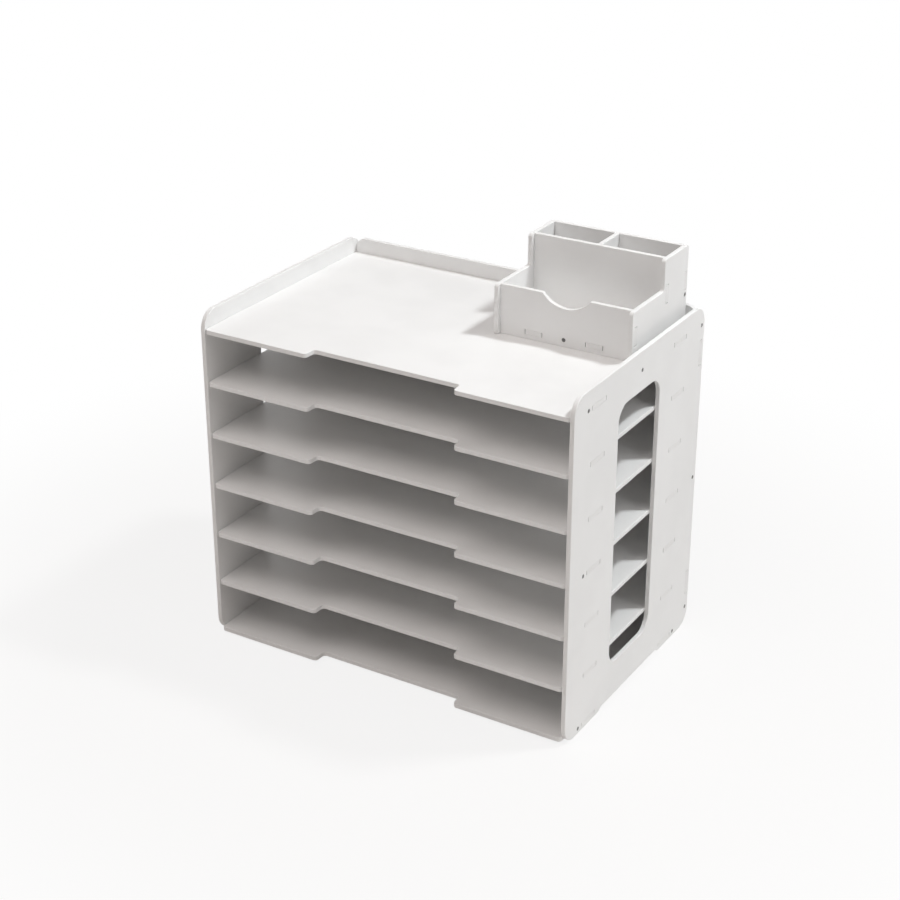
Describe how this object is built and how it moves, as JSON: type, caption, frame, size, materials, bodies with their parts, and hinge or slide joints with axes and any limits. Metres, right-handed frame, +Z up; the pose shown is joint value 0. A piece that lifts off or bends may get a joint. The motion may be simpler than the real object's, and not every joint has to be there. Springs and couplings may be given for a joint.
{
  "type": "file storage rack",
  "caption": "White foam board desk rack with stacked open letter shelves between two windowed side panels, and a loose pen box with a tray and bins on the top board.",
  "frame": {"origin": "middle of the footprint, on the floor that the side panels' feet stand on", "axes": "+Z up, -Y towards the open front, +X to the right as seen from the front, where the pen box stands"},
  "size_m": [0.35, 0.234, 0.3619],
  "materials": {
    "white_foam_board": "satin white foam board",
    "black_screw": "worn black oxide, semi-matte"
  },
  "bodies": {
    "rack": {"left_side_panel": "white_foam_board", "right_side_panel": "white_foam_board", "top_board": "white_foam_board", "shelf_1": "white_foam_board", "shelf_2": "white_foam_board", "shelf_3": "white_foam_board", "shelf_4": "white_foam_board", "shelf_5": "white_foam_board", "bottom_board": "white_foam_board", "back_panel": "white_foam_board", "top_board_screws": "black_screw", "middle_shelf_screws": "black_screw", "bottom_board_screws": "black_screw", "back_panel_screws": "black_screw"},
    "pen_box": {"pen_box_left_side": "white_foam_board", "pen_box_right_side": "white_foam_board", "pen_box_front_wall": "white_foam_board", "pen_box_partition": "white_foam_board", "pen_box_back_wall": "white_foam_board", "pen_box_divider": "white_foam_board", "pen_box_floor": "white_foam_board", "pen_box_front_screw": "black_screw", "pen_box_side_screws": "black_screw"}
  },
  "joints": [
    {"name": "pen_box_lift", "type": "slide", "parent": "rack", "child": "pen_box", "axis": [0, 0, 1], "range_m": [0, 0.1]}
  ]
}
